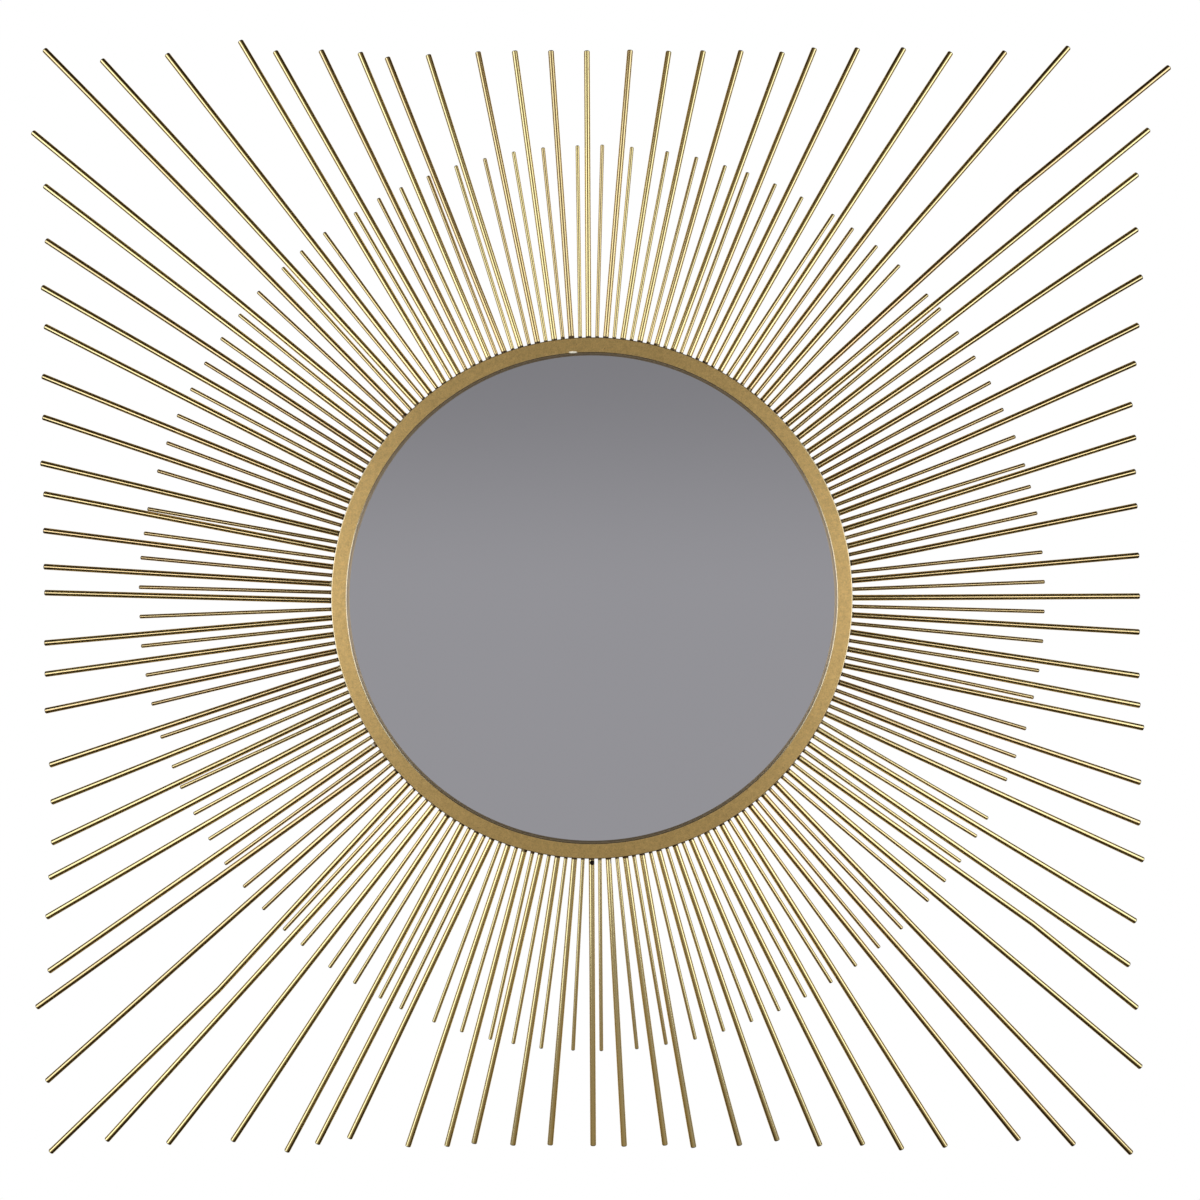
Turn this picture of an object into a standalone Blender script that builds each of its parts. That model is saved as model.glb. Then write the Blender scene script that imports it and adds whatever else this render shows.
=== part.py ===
"""Round wall mirror in a gold rim, set in a square burst of straight rods.

The wall is the plane y = 0 and the mirror faces -Y, with +Z up. The origin is the middle of the
hanging rail's rear face, which lies on the wall. All sizes are in metres unless a name says
otherwise, and angles run counter-clockwise as seen from the front, from +X towards +Z.
"""

import math

import bmesh
import bpy
from mathutils import Vector

# The burst of rods: long ones end on a square, and short ones between them end on a circle.
SQUARE_SIDE = 0.900
SHORT_TIP_RADIUS = 0.3722
ROD_PAIRS = 96
LONG_ROD_DIAMETER = 0.0048
SHORT_ROD_DIAMETER = 0.0032
LONG_ROD_SIDES = 8
SHORT_ROD_SIDES = 6

# The burst stands a little turned and a little to the left and low of the rim.
BURST_TURN_DEG = 0.33
BURST_SHIFT_X = -0.0016
BURST_SHIFT_Z = -0.0010
DEPTH_STRAY = 0.0015
DEPTH_STRAY_STEP = 2.4

# Rods that stand plainly out of line: rod number, counted counter-clockwise from the one that
# points right, and how far its tip strays counter-clockwise, in millimetres.
LONG_STRAYS_MM = {
    1: 4, 2: 15, 3: 13, 4: 10, 5: 6, 6: 5, 11: -16, 12: -31, 19: -8, 20: -6, 21: -6, 22: -8,
    23: -6, 28: 10, 29: 12, 31: -4, 32: -4, 33: -19, 35: 6, 36: -6, 37: 10, 41: -6, 44: 6,
    48: -8, 49: 4, 52: 14, 53: 13, 54: 13, 55: 6, 57: 4, 58: -14, 60: 4, 61: -9, 62: -6, 64: 8,
    65: -6, 66: -16, 69: -9, 70: -7, 71: -6, 73: -4, 75: -7, 80: -7, 81: -10, 82: 6, 84: -11,
    85: 6, 86: 4, 87: -7, 88: -8, 89: 6, 92: 13, 94: -6,
}
SHORT_STRAYS_MM = {
    2: 8, 3: 6, 11: -9, 15: -5, 19: -5, 20: -5, 21: -5, 24: -4, 31: -4, 32: -6, 35: -4, 44: 8,
    45: 4, 52: 4, 53: 6, 61: -5, 65: -5, 69: -5, 70: -6, 71: -4, 72: -5, 84: 7, 85: 4, 88: -7,
    89: 4, 92: 2,
}
# Long rods that plainly end past the square or short of it, in millimetres.
LONG_REACH_MM = {
    5: -4, 8: 4, 12: 8, 14: -4, 15: -5, 38: -4, 39: -5, 63: -6, 77: -4, 81: -5, 85: -5, 86: -7,
    87: -6,
}
# Long rods with a bend: distance of the bend from the mirror's centre, and its stray.
LONG_BENDS = {12: (0.484, -0.014), 60: (0.444, 0.0085), 86: (0.450, 0.0075)}

# The rim: a bar bent into a ring, square in front, with small chamfers on its front edges.
RIM_INNER_RADIUS = 0.2000
RIM_OUTER_RADIUS = 0.2125
RIM_DEPTH = 0.0115
RIM_CHAMFER = 0.0005

# Behind the rim, a hoop carries the rods and holds the glass and its backing board.
HOOP_INNER_RADIUS = 0.2070
HOOP_OUTER_RADIUS = 0.2110
GLASS_THICKNESS = 0.003
BOARD_THICKNESS = 0.006
INSERT_RADIUS = 0.2065

# The hanging rail: a Z-section strip whose rear leg points down and hooks over a wall rail.
RAIL_LENGTH = 0.220
RAIL_THICKNESS = 0.002
RAIL_STANDOFF = 0.0061
RAIL_LEG_HEIGHT = 0.024
RAIL_BASE_HEIGHT = 0.024
RAIL_ABOVE_CENTRE = 0.130

# Screws that hold the rail to the board: across the rail, two by two.
SCREW_SPACING_X = 0.160
SCREW_SPACING_Z = 0.011
SCREW_HEAD_DIAMETER = 0.0072
SCREW_HEAD_HEIGHT = 0.0018
SCREW_SHANK_DIAMETER = 0.0035
SCREW_HOLE_DIAMETER = 0.0042
SCREW_REACH = 0.0050

GAP = 0.0003
RING_SEGMENTS = 96
SMALL_ROUND_SEGMENTS = 12
SMOOTH_LIMIT = math.radians(35)

# Depths, worked forward from the wall.
BOARD_BACK = -RAIL_STANDOFF - GAP
BOARD_FRONT = BOARD_BACK - BOARD_THICKNESS
GLASS_BACK = BOARD_FRONT - GAP
GLASS_FRONT = GLASS_BACK - GLASS_THICKNESS
RIM_BACK = GLASS_FRONT - GAP
RIM_FRONT = RIM_BACK - RIM_DEPTH
ROD_DEPTH = (BOARD_BACK + GLASS_FRONT) / 2
ROD_START_RADIUS = (HOOP_INNER_RADIUS + HOOP_OUTER_RADIUS) / 2
PITCH_DEG = 360 / ROD_PAIRS


def clear_scene():
    """Remove every object that a new file comes with."""
    for old in list(bpy.data.objects):
        bpy.data.objects.remove(old)


def finish_material(name, colour, roughness, metallic):
    """A plain material with one colour, roughness and metallic value."""
    material = bpy.data.materials.new(name)
    material.use_nodes = True
    shader = material.node_tree.nodes["Principled BSDF"]
    shader.inputs["Base Color"].default_value = (*colour, 1)
    shader.inputs["Roughness"].default_value = roughness
    shader.inputs["Metallic"].default_value = metallic
    return material


def rim_gold():
    return finish_material("rim_gold", (0.62, 0.44, 0.20), 0.38, 1)


def rod_gold():
    return finish_material("rod_gold", (0.78, 0.60, 0.32), 0.18, 1)


def silvered_glass():
    return finish_material("silvered_glass", (0.86, 0.87, 0.88), 0.02, 1)


def board_fibre():
    return finish_material("board_fibre", (0.10, 0.065, 0.045), 0.80, 0)


def rail_zinc():
    return finish_material("rail_zinc", (0.60, 0.61, 0.62), 0.38, 1)


def screw_steel():
    return finish_material("screw_steel", (0.50, 0.50, 0.51), 0.30, 1)


def mirror_centre():
    """The empty at the middle of the glass, which the round pieces hang from."""
    centre = bpy.data.objects.new("mirror_centre", None)
    centre.location = (0, 0, -RAIL_ABOVE_CENTRE)
    bpy.context.collection.objects.link(centre)
    return centre


def place(name, bm, material=None, parent=None):
    """Turn a finished bmesh into a named object, with its faces out and its round sides smooth."""
    bmesh.ops.recalc_face_normals(bm, faces=bm.faces)
    mesh = bpy.data.meshes.new(name)
    bm.to_mesh(mesh)
    bm.free()
    mesh.shade_smooth()
    mesh.set_sharp_from_angle(angle=SMOOTH_LIMIT)
    if material:
        mesh.materials.append(material)
    placed = bpy.data.objects.new(name, mesh)
    placed.parent = parent
    bpy.context.collection.objects.link(placed)
    return placed


def tool(name, bm, parent=None):
    """A shape that only cuts or joins another one."""
    shape = place(name, bm, parent=parent)
    shape.hide_render = True
    shape.display_type = "WIRE"
    return shape


def combine(target, operation, other):
    """Join the other shape to the target, or cut it from the target."""
    modifier = target.modifiers.new(operation.lower(), "BOOLEAN")
    modifier.operation = operation
    modifier.solver = "EXACT"
    modifier.object = other


def seen_from_front(radius, angle_deg, y):
    """The point at a distance and an angle from the mirror's centre, at depth y."""
    angle = math.radians(angle_deg)
    return Vector((radius * math.cos(angle), y, radius * math.sin(angle)))


def turned_ring(profile, start_deg=0):
    """Spin a closed outline of (radius, y) corners round the mirror's axis."""
    bm = bmesh.new()
    corners = [bm.verts.new(seen_from_front(radius, start_deg, y)) for radius, y in profile]
    edges = [bm.edges.new((corner, corners[i - 1])) for i, corner in enumerate(corners)]
    bmesh.ops.spin(bm, geom=corners + edges, cent=(0, 0, 0), axis=(0, 1, 0), dvec=(0, 0, 0),
                   angle=math.tau, steps=RING_SEGMENTS, use_merge=True)
    return bm


def disc(radius, back, front):
    """A flat round plate between two depths."""
    bm = bmesh.new()
    rim = [bm.verts.new(seen_from_front(radius, 360 * i / RING_SEGMENTS, back))
           for i in range(RING_SEGMENTS)]
    face = bm.faces.new(rim)
    grown = bmesh.ops.extrude_face_region(bm, geom=[face])["geom"]
    lifted = [item for item in grown if isinstance(item, bmesh.types.BMVert)]
    bmesh.ops.translate(bm, verts=lifted, vec=(0, front - back, 0))
    return bm


def add_cylinder(bm, diameter, x, z, back, front, sides):
    """Add a short cylinder along Y, from one depth to another."""
    start = len(bm.verts)
    bmesh.ops.create_cone(bm, cap_ends=True, segments=sides, radius1=diameter / 2,
                          radius2=diameter / 2, depth=abs(front - back))
    bm.verts.ensure_lookup_table()
    for vert in bm.verts[start:]:
        vert.co = (vert.co.x + x, (back + front) / 2 - vert.co.z, vert.co.y + z)


def square_radius(angle_deg):
    """Distance from the centre to the square's edge, at an angle."""
    angle = math.radians(angle_deg)
    return SQUARE_SIDE / 2 / max(abs(math.cos(angle)), abs(math.sin(angle)))


def burst_angle(nominal_deg, radius):
    """Where an evenly spaced angle comes to lie, as the burst is turned and shifted."""
    angle = math.radians(nominal_deg)
    sideways = BURST_SHIFT_Z * math.cos(angle) - BURST_SHIFT_X * math.sin(angle)
    return nominal_deg + BURST_TURN_DEG + math.degrees(sideways / radius)


def rod_path(number, nominal_deg, tip_radius, stray, bend=None):
    """The line of a rod: from inside the hoop, past its bend if it has one, to its tip."""
    stops = [(ROD_START_RADIUS, 0)]
    if bend:
        stops.append(bend)
    stops.append((tip_radius, stray))
    lean = DEPTH_STRAY * math.sin(DEPTH_STRAY_STEP * number)
    path = []
    for radius, aside in stops:
        angle = burst_angle(nominal_deg, radius) + math.degrees(aside / radius)
        along = (radius - ROD_START_RADIUS) / (tip_radius - ROD_START_RADIUS)
        path.append(seen_from_front(radius, angle, ROD_DEPTH + lean * along))
    return path


def long_rod_paths():
    for number in range(ROD_PAIRS):
        nominal = number * PITCH_DEG
        stray = LONG_STRAYS_MM.get(number, 0) / 1000
        reach = square_radius(nominal) + LONG_REACH_MM.get(number, 0) / 1000
        yield rod_path(number, nominal, reach, stray, LONG_BENDS.get(number))


def short_rod_paths():
    for number in range(ROD_PAIRS):
        nominal = (number + 0.5) * PITCH_DEG
        stray = SHORT_STRAYS_MM.get(number, 0) / 1000
        yield rod_path(number, nominal, SHORT_TIP_RADIUS, stray)


def same_area_radius(diameter, sides):
    """Corner radius of a regular polygon with the area of a circle."""
    return diameter / 2 * math.sqrt(math.tau / (sides * math.sin(math.tau / sides)))


def add_rod(bm, path, diameter, sides):
    """Add a straight or once-bent bar with a regular section and square-cut ends."""
    radius = same_area_radius(diameter, sides)
    across = (path[-1] - path[0]).cross(Vector((0, 1, 0))).normalized()
    rings = []
    for point in path:
        ring = []
        for i in range(sides):
            angle = math.tau * (i + 0.5) / sides
            offset = across * math.cos(angle) + Vector((0, 1, 0)) * math.sin(angle)
            ring.append(bm.verts.new(point + offset * radius))
        rings.append(ring)
    for near, far in zip(rings, rings[1:]):
        for i in range(sides):
            bm.faces.new((near[i - 1], near[i], far[i], far[i - 1]))
    bm.faces.new(rings[0])
    bm.faces.new(rings[-1])


def build_rim(centre):
    """The front ring, with the glass standing back inside it."""
    profile = [
        (RIM_INNER_RADIUS, RIM_BACK),
        (RIM_INNER_RADIUS, RIM_FRONT + RIM_CHAMFER),
        (RIM_INNER_RADIUS + RIM_CHAMFER, RIM_FRONT),
        (RIM_OUTER_RADIUS - RIM_CHAMFER, RIM_FRONT),
        (RIM_OUTER_RADIUS, RIM_FRONT + RIM_CHAMFER),
        (RIM_OUTER_RADIUS, RIM_BACK),
    ]
    return place("rim", turned_ring(profile), rim_gold(), centre)


def build_glass(centre):
    """The mirror glass, held by its edge between the rim and the board."""
    return place("mirror_glass", disc(INSERT_RADIUS, GLASS_BACK, GLASS_FRONT),
                 silvered_glass(), centre)


def build_burst(centre):
    """The hoop with every rod welded to its outer side."""
    profile = [
        (HOOP_INNER_RADIUS, BOARD_BACK),
        (HOOP_INNER_RADIUS, GLASS_FRONT),
        (HOOP_OUTER_RADIUS, GLASS_FRONT),
        (HOOP_OUTER_RADIUS, BOARD_BACK),
    ]
    hoop = place("rod_burst", turned_ring(profile, BURST_TURN_DEG - PITCH_DEG / 4),
                 rod_gold(), centre)
    bm = bmesh.new()
    for path in long_rod_paths():
        add_rod(bm, path, LONG_ROD_DIAMETER, LONG_ROD_SIDES)
    for path in short_rod_paths():
        add_rod(bm, path, SHORT_ROD_DIAMETER, SHORT_ROD_SIDES)
    combine(hoop, "UNION", tool("rods", bm, centre))
    return hoop


def screw_places():
    """The screws' places on the rail's base, left to right, lower row first."""
    middle = RAIL_LEG_HEIGHT / 2 + RAIL_BASE_HEIGHT / 2
    return [(side * SCREW_SPACING_X / 2, middle + row * SCREW_SPACING_Z / 2)
            for row in (-1, 1) for side in (-1, 1)]


def screw_hole_tool():
    """Holes through the rail's base and part of the way into the board."""
    bm = bmesh.new()
    for x, z in screw_places():
        add_cylinder(bm, SCREW_HOLE_DIAMETER, x, z, 0, BOARD_BACK - SCREW_REACH,
                     SMALL_ROUND_SEGMENTS)
    return tool("screw_holes", bm)


def build_board(centre, holes):
    """The backing board behind the glass, flush with the back of the hoop."""
    board = place("backing_board", disc(INSERT_RADIUS, BOARD_BACK, BOARD_FRONT),
                  board_fibre(), centre)
    combine(board, "DIFFERENCE", holes)
    return board


def build_rail(holes):
    """The Z-section hanging rail: base on the board, web, and rear leg pointing down."""
    top = RAIL_LEG_HEIGHT / 2
    section = [
        (0, -top),
        (0, top),
        (RAIL_THICKNESS - RAIL_STANDOFF, top),
        (RAIL_THICKNESS - RAIL_STANDOFF, top + RAIL_BASE_HEIGHT),
        (-RAIL_STANDOFF, top + RAIL_BASE_HEIGHT),
        (-RAIL_STANDOFF, top - RAIL_THICKNESS),
        (-RAIL_THICKNESS, top - RAIL_THICKNESS),
        (-RAIL_THICKNESS, -top),
    ]
    bm = bmesh.new()
    end = bm.faces.new([bm.verts.new((-RAIL_LENGTH / 2, y, z)) for y, z in section])
    grown = bmesh.ops.extrude_face_region(bm, geom=[end])["geom"]
    moved = [item for item in grown if isinstance(item, bmesh.types.BMVert)]
    bmesh.ops.translate(bm, verts=moved, vec=(RAIL_LENGTH, 0, 0))
    rail = place("hanging_rail", bm, rail_zinc())
    combine(rail, "DIFFERENCE", holes)
    return rail


def build_screws():
    """Pan-head screws: a shank in the hole and a wider head on the rail's base."""
    material = screw_steel()
    head_front = RAIL_THICKNESS - RAIL_STANDOFF + GAP
    shank_end = BOARD_BACK - SCREW_REACH + GAP
    for number, (x, z) in enumerate(screw_places(), start=1):
        bm = bmesh.new()
        add_cylinder(bm, SCREW_HEAD_DIAMETER, x, z, head_front + SCREW_HEAD_HEIGHT, head_front,
                     SMALL_ROUND_SEGMENTS)
        head = place(f"rail_screw_{number}", bm, material)
        shank_bm = bmesh.new()
        add_cylinder(shank_bm, SCREW_SHANK_DIAMETER, x, z, head_front + SCREW_HEAD_HEIGHT / 2,
                     shank_end, SMALL_ROUND_SEGMENTS)
        combine(head, "UNION", tool(f"screw_shank_{number}", shank_bm))


def main():
    clear_scene()
    centre = mirror_centre()
    holes = screw_hole_tool()
    build_rim(centre)
    build_glass(centre)
    build_burst(centre)
    build_board(centre, holes)
    build_rail(holes)
    build_screws()


main()
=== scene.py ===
"""Looks of a round wall mirror in a gold rim, set in a square burst of straight rods.

The wall is the plane y = 0, the glass faces -Y and +Z is up. The file is laid out as an add-on:
property groups hold the sizes, finishes and studio, one operator makes each group of pieces, and
a panel in the 3D view's sidebar lists them. Run as a script, it makes the whole scene.
"""

import math

import bmesh
import bpy
import numpy as np
from bpy.props import FloatProperty, FloatVectorProperty, IntProperty, PointerProperty
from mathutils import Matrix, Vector


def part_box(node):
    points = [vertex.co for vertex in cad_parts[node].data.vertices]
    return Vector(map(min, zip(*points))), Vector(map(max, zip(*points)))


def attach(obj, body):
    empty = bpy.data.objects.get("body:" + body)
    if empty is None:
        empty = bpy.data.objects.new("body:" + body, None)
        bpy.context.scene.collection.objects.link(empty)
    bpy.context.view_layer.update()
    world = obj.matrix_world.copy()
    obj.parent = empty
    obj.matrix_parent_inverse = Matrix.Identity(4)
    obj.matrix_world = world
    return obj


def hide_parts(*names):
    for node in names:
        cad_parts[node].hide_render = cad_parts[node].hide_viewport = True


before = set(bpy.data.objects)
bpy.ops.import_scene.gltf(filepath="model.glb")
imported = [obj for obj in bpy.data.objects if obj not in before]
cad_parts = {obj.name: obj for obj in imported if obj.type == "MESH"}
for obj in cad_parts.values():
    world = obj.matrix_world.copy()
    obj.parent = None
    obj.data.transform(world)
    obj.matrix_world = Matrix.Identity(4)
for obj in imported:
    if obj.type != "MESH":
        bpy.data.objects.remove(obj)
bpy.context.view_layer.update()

bl_info = {
    "name": "Burst Wall Mirror",
    "version": (1, 0, 0),
    "blender": (4, 5, 0),
    "location": "3D View > Sidebar > Wall Mirror",
    "description": "A round wall mirror in a gold rim with a square burst of rods",
    "category": "Object",
}

BODY = "root"

# How finely round pieces are cut, in sides, and where shading breaks at an edge.
RIM_SEGMENTS = 720
HOOP_SEGMENTS = 360
ROD_SIDES = 12
WELD_SIDES = 10
SCREW_SEGMENTS = 48
FLOOR_SEGMENTS = 96
FLOOR_RINGS = 8
SHARP_ANGLE = math.radians(40)
# Between one rod's streaks and the next rod's in the noise that draws them, in metres.
STREAK_STEP = 1.7
# How far a weld's thin end stands off its rod, in metres.
WELD_SKIN = 0.00005
# How far from a rounded edge one more point keeps the flat beside it shaded flat, in metres.
FLAT_LEAD = 0.0002
# A screw's shank as a share of its head's width.
SHANK_SHARE = 0.48

GLASS_LOW, GLASS_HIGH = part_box("mirror_glass")
CENTRE = Vector((0, 0, (GLASS_LOW.z + GLASS_HIGH.z) / 2))


def ring_of(node):
    """A round node's inner and outer radius about the glass's axis, and its back and front."""
    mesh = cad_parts[node].data
    points = np.empty(len(mesh.vertices) * 3)
    mesh.vertices.foreach_get("co", points)
    x, y, z = points.reshape(-1, 3).T
    radius = np.hypot(x - CENTRE.x, z - CENTRE.z)
    return float(radius.min()), float(radius.max()), float(y.max()), float(y.min())


RIM_INNER, RIM_OUTER, RIM_BACK, RIM_FRONT = ring_of("rim")
HOOP_INNER = ring_of("rod_burst")[0]
HOOP_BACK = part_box("backing_board")[1].y
HOOP_FRONT = GLASS_LOW.y
ROD_DEPTH = (HOOP_BACK + HOOP_FRONT) / 2

# Rods that stand plainly out of line: rod number, counted counter-clockwise from the one that
# points right, and how far its tip strays counter-clockwise, in millimetres.
LONG_STRAYS_MM = {
    1: 4, 2: 15, 3: 13, 4: 10, 5: 6, 6: 5, 11: -16, 12: -31, 19: -8, 20: -6, 21: -6, 22: -8,
    23: -6, 28: 10, 29: 12, 31: -4, 32: -4, 33: -19, 35: 6, 36: -6, 37: 10, 41: -6, 44: 6,
    48: -8, 49: 4, 52: 14, 53: 13, 54: 13, 55: 6, 57: 4, 58: -14, 60: 4, 61: -9, 62: -6, 64: 8,
    65: -6, 66: -16, 69: -9, 70: -7, 71: -6, 73: -4, 75: -7, 80: -7, 81: -10, 82: 6, 84: -11,
    85: 6, 86: 4, 87: -7, 88: -8, 89: 6, 92: 13, 94: -6,
}
SHORT_STRAYS_MM = {
    2: 8, 3: 6, 11: -9, 15: -5, 19: -5, 20: -5, 21: -5, 24: -4, 31: -4, 32: -6, 35: -4, 44: 8,
    45: 4, 52: 4, 53: 6, 61: -5, 65: -5, 69: -5, 70: -6, 71: -4, 72: -5, 84: 7, 85: 4, 88: -7,
    89: 4, 92: 2,
}
# Long rods that plainly end past the square or short of it, in millimetres.
LONG_REACH_MM = {
    5: -4, 8: 4, 12: 8, 14: -4, 15: -5, 38: -4, 39: -5, 63: -6, 77: -4, 81: -5, 85: -5, 86: -7,
    87: -6,
}
# Long rods with a bend: distance of the bend from the mirror's centre, and its stray, in metres.
LONG_BENDS = {12: (0.484, -0.014), 60: (0.444, 0.0085), 86: (0.450, 0.0075)}
# Long rods painted browner than the rest: a painted reflection, for the dull brown that the bent
# rod's tilt gives it.
REFLECTION_BROWN_LONG_RODS = (12,)
# Small marks on the rods: right of the glass's centre, above it, and the radius, in metres. The pale
# ones are painted highlights at two rod roots; the black ones are black marks at the bottom rod's
# root and at rod 12's bend.
GLINT_DABS = ((0.0164, -0.2164, 0.0019), (-0.1792, -0.1200, 0.0019))
BLACK_DABS = ((0.0002, -0.2172, 0.0021), (0.3493, 0.3345, 0.0012))
# The pale scuff on the rim: right of the glass's centre and above the rim's inner edge, and how
# far it runs to either side, in depth and up, in metres.
SCUFF_RIGHT, SCUFF_ABOVE = -0.0155, 0.0002
SCUFF_REACH = (0.0035, 0.0040, 0.0009)


def length(title, words, default):
    """A size in metres that a user may change."""
    return FloatProperty(name=title, description=words, default=default, unit="LENGTH",
                         precision=5, min=0)


def colour(title, words, default):
    """A colour that a user may change."""
    return FloatVectorProperty(name=title, description=words, default=default,
                               subtype="COLOR", size=3, min=0, max=1)


def share(title, words, default):
    """A number from 0 to 1 that a user may change."""
    return FloatProperty(name=title, description=words, default=default, subtype="FACTOR",
                         min=0, max=1)


def light_level(title, words, default):
    """A brightness, where 1 is white on the picture."""
    return FloatProperty(name=title, description=words, default=default, min=0, soft_max=20)


class BurstSizes(bpy.types.PropertyGroup):
    """Sizes of the rods and of the hoop that they are welded to."""

    rod_pairs: IntProperty(name="Rod pairs", description="Long rods, with a short one after each",
                           default=96, min=3)
    square_side: length("Square side", "Side of the square that the long rods end on", 0.900)
    short_reach: length("Short reach", "Distance from the centre to the short rods' tips", 0.3722)
    long_rod: length("Long rod", "Diameter of the long rods", 0.0048)
    short_rod: length("Short rod", "Diameter of the short rods", 0.0032)
    cut_edge: length("Cut edge", "Width of the broken edge round a rod's cut end", 0.0006)
    hoop_wall: length("Hoop wall", "Thickness of the hoop", 0.0040)
    hoop_edge: length("Hoop edge", "Radius of the hoop's edges", 0.0003)
    weld_reach: length("Weld reach", "How far a weld runs out along its rod", 0.0032)
    weld_swell: length("Weld swell", "How far a weld stands out round its rod", 0.0012)
    turn: FloatProperty(name="Turn", description="How far the burst is turned about the rim",
                        default=math.radians(0.33), subtype="ANGLE", unit="ROTATION")
    shift_x: FloatProperty(name="Shift across", description="How far the burst sits to the right",
                           default=-0.0016, unit="LENGTH", precision=5)
    shift_z: FloatProperty(name="Shift up", description="How far the burst sits above the rim",
                           default=-0.0010, unit="LENGTH", precision=5)
    depth_stray: length("Depth stray", "How far rod tips stand before or behind the rest", 0.0015)


class BodySizes(bpy.types.PropertyGroup):
    """Small sizes of the rim, the rail and the screws."""

    rim_edge: length("Rim edge", "Radius of the rim's two front edges", 0.0006)
    rim_back_edge: length("Rim back edge", "Radius of the rim's two back edges", 0.0003)
    rail_sheet: length("Rail sheet", "Thickness of the hanging rail's sheet", 0.0020)
    rail_bend: length("Rail bend", "Inner radius of the rail's two bends", 0.0006)
    rail_edge: length("Rail edge", "Radius of the rail's cut edges", 0.0002)
    screw_head: length("Screw head", "Height of a screw's head", 0.0018)
    screw_recess: length("Screw recess", "Depth of the cross recess in a screw's head", 0.0012)


class Finishes(bpy.types.PropertyGroup):
    """Colours and gloss of the finishes."""

    rod_gold: colour("Rod gold", "Bright gold of the rods", (0.86, 0.69, 0.325))
    copper_gold: colour("Copper gold", "Browner gold of some of the rods", (0.73, 0.53, 0.26))
    # Cream is painted highlight in the pale dabs on the rods, and the colour of the scuff on the rim.
    glint_and_scuff_cream: colour("Cream", "Pale dabs of filler on the rods and the rim", (0.90, 0.84, 0.68))
    dab_black: colour("Soot", "Black dabs on the rods", (0.02, 0.015, 0.01))
    rim_gold: colour("Rim gold", "Satin gold of the rim", (0.84, 0.585, 0.215))
    # The inner wall's darker gold is partly painted shade for the recess between the rim's face and
    # the glass.
    rim_wall_gold_and_shade: colour("Rim wall", "Darker gold of the rim's inner wall", (0.45, 0.33, 0.16))
    worn_edge: colour("Worn edge", "Pale gold where the rim is rubbed", (0.97, 0.88, 0.66))
    tarnish: colour("Tarnish", "Brown of the old spots and cut ends", (0.34, 0.21, 0.10))
    weld: colour("Weld", "Burnt metal of the weld beads", (0.12, 0.08, 0.05))
    silver: colour("Silver", "Reflection of the silvered glass", (0.93, 0.93, 0.94))
    board: colour("Board", "Dark paint of the backing board", (0.055, 0.042, 0.034))
    bare_fibre: colour("Bare fibre", "The board where its paint is thin", (0.16, 0.12, 0.085))
    zinc: colour("Zinc", "Plating of the hanging rail", (0.62, 0.64, 0.66))
    steel: colour("Steel", "Plain steel of the screws", (0.50, 0.50, 0.51))
    rod_roughness: share("Rod roughness", "Roughness of the rods", 0.15)
    rim_roughness: share("Rim roughness", "Roughness of the rim", 0.32)


class Studio(bpy.types.PropertyGroup):
    """Where the camera and the lights stand, and how bright the room is."""

    camera_distance: length("Camera distance", "From the camera to the rods", 1.941)
    camera_right: FloatProperty(name="Camera right", description="Right of the glass's centre",
                                default=0.0066, unit="LENGTH", precision=4)
    camera_up: FloatProperty(name="Camera up", description="Above the glass's centre",
                             default=-0.0016, unit="LENGTH", precision=4)
    view_width: length("View width", "Width of the picture at the rods", 0.986)
    box_distance: length("Light distance", "From the glass to the middle of a soft light", 1.50)
    box_angle: FloatProperty(name="Light angle", description="Between a soft light and the axis",
                             default=math.radians(50), subtype="ANGLE", unit="ROTATION")
    box_width: length("Light width", "Width of a soft light", 0.95)
    box_height: length("Light height", "Height of a soft light", 1.35)
    box_up: length("Light up", "Middle of a soft light above the glass's centre", 0.24)
    box_tilt: length("Light difference", "How much higher the right light stands", 0.16)
    box_light: light_level("Light level", "Brightness of a soft light's face", 1.7)
    box_tint: colour("Light tint", "Colour of the soft lights, a cool white", (0.76, 0.88, 1.0))
    panel_distance: length("Panel distance", "From the glass to the middle of a panel", 1.57)
    panel_angle: FloatProperty(name="Panel angle", description="Between a panel and the axis",
                               default=math.radians(24.5), subtype="ANGLE", unit="ROTATION")
    panel_width: length("Panel width", "Width of a pale panel beside each light", 0.42)
    panel_height: length("Panel height", "Height of a panel", 0.40)
    panel_up: length("Panel up", "Middle of a panel above the glass's centre", 0.02)
    panel_light: light_level("Panel level", "Brightness of a panel's face", 2.5)
    panel_tint: colour("Panel tint", "Colour of the panels", (0.86, 0.84, 0.96))
    top_width: length("Top width", "Side of the square light above the floor", 2.4)
    top_light: light_level("Top level", "Brightness of the light above the floor", 4.0)
    room_light: light_level("Room level", "Brightness of the room at eye level", 0.31)
    room_dark: light_level("Room dark", "Brightness of the ceiling and the ground", 0.020)
    rear_light: light_level("Rear level", "Brightness of the room behind the mirror", 0.5)
    room_tint: colour("Room tint", "Colour of the room at eye level", (0.95, 0.94, 1.0))
    dark_tint: colour("Dark tint", "Colour of the ceiling and the ground", (1.0, 0.82, 0.52))
    floor_drop: length("Floor drop", "From the glass's centre down to the floor", 1.32)
    floor_radius: length("Floor radius", "Radius of the pale floor", 1.70)
    floor_tint: colour("Floor tint", "Colour of the floor", (0.80, 0.79, 0.78))


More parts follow.
